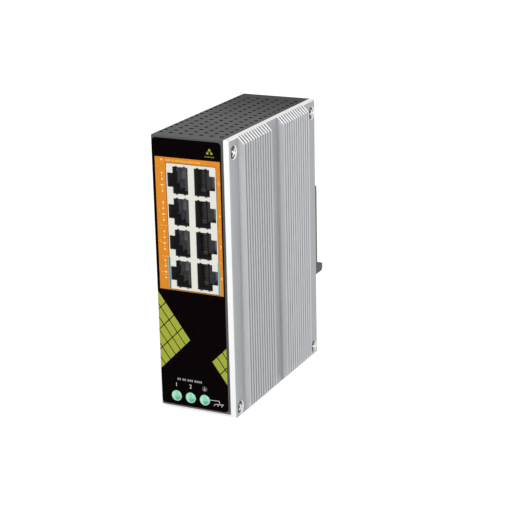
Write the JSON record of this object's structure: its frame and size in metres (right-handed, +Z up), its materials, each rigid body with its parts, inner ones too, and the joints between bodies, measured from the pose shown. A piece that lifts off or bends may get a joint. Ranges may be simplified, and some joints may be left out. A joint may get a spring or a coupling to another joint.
{
  "type": "din rail ethernet switch",
  "caption": "Narrow network switch for a 35 mm rail, with sockets in two columns, a finned metal side, a perforated top and a spring latch behind",
  "frame": {"origin": "where the rail seats: mid width of the folded case, on the plane of the rail's front, at the rail's mid height", "axes": "+X towards the finned side, +Y back into the rail and away from the front, +Z up"},
  "size_m": [0.0403, 0.1055, 0.125],
  "materials": {
    "sheet_steel": "satin dark grey powder coat",
    "fins": "clear anodised extrusion",
    "screw_steel": "bright plated",
    "label_film": "black printed film",
    "orange_ink": "printed",
    "lime_ink": "printed",
    "shield_plate": "bright tin plate",
    "jack_plastic": "moulded black",
    "contact_gold": "plated",
    "clear_guide": "clear moulding",
    "light_lens": "small lamp",
    "board_green": "glass epoxy with solder mask",
    "brass_post": "turned",
    "chip_black": "moulded package",
    "pad_grey": "soft gap pad",
    "ferrite": "sintered",
    "winding_tape": "taped winding",
    "can_sleeve": "sleeve",
    "choke_wire": "enamelled wire",
    "fuse_sleeve": "sleeve",
    "link_plastic": "moulded",
    "insulator": "polyester sheet",
    "terminal_green": "moulded",
    "cap_green": "moulded, glossy",
    "clip_plastic": "glass-filled moulding",
    "latch_plastic": "glass-filled moulding",
    "spring_steel": "spring wire"
  },
  "bodies": {
    "switch": {"housing": "sheet_steel", "heat_sink": "fins", "heat_sink_screws": "screw_steel", "front_label": "label_film", "label_orange_field": "orange_ink", "label_diamond_fields": "lime_ink", "jack_shield": "shield_plate", "jack_housing": "jack_plastic", "status_light_guides": "clear_guide", "status_lights": "light_lens", "status_light_board": "board_green", "main_board": "board_green", "power_board": "board_green", "board_posts": "brass_post", "board_screws": "screw_steel", "switch_chip": "chip_black", "switch_chip_pad": "pad_grey", "power_feed_chips": "chip_black", "power_feed_chip_pads": "pad_grey", "line_transformers": "chip_black", "transformer_core": "ferrite", "transformer_winding": "winding_tape", "bulk_capacitor": "can_sleeve", "output_capacitors": "can_sleeve", "line_choke": "choke_wire", "fuse": "fuse_sleeve", "bridge_rectifier": "chip_black", "power_transistor": "chip_black", "transistor_pad": "pad_grey", "board_link": "link_plastic", "insulating_sheet": "insulator", "terminal_block": "terminal_green", "terminal_clamps": "screw_steel", "terminal_screws": "screw_steel", "terminal_caps": "cap_green", "clip_body": "clip_plastic", "clip_spring": "spring_steel", "clip_screws": "screw_steel", "port_1_contacts": "contact_gold", "port_2_contacts": "contact_gold", "port_3_contacts": "contact_gold", "port_4_contacts": "contact_gold", "port_5_contacts": "contact_gold", "port_6_contacts": "contact_gold", "port_7_contacts": "contact_gold", "port_8_contacts": "contact_gold"},
    "latch": {"clip_latch": "latch_plastic"}
  },
  "joints": [
    {"name": "latch_slide", "type": "slide", "parent": "switch", "child": "latch", "axis": [0, 0, -1], "range_m": [0, 0.004], "stiffness_N_per_m": 2000, "springref_m": -0.001, "deforming": ["clip_spring"]}
  ]
}
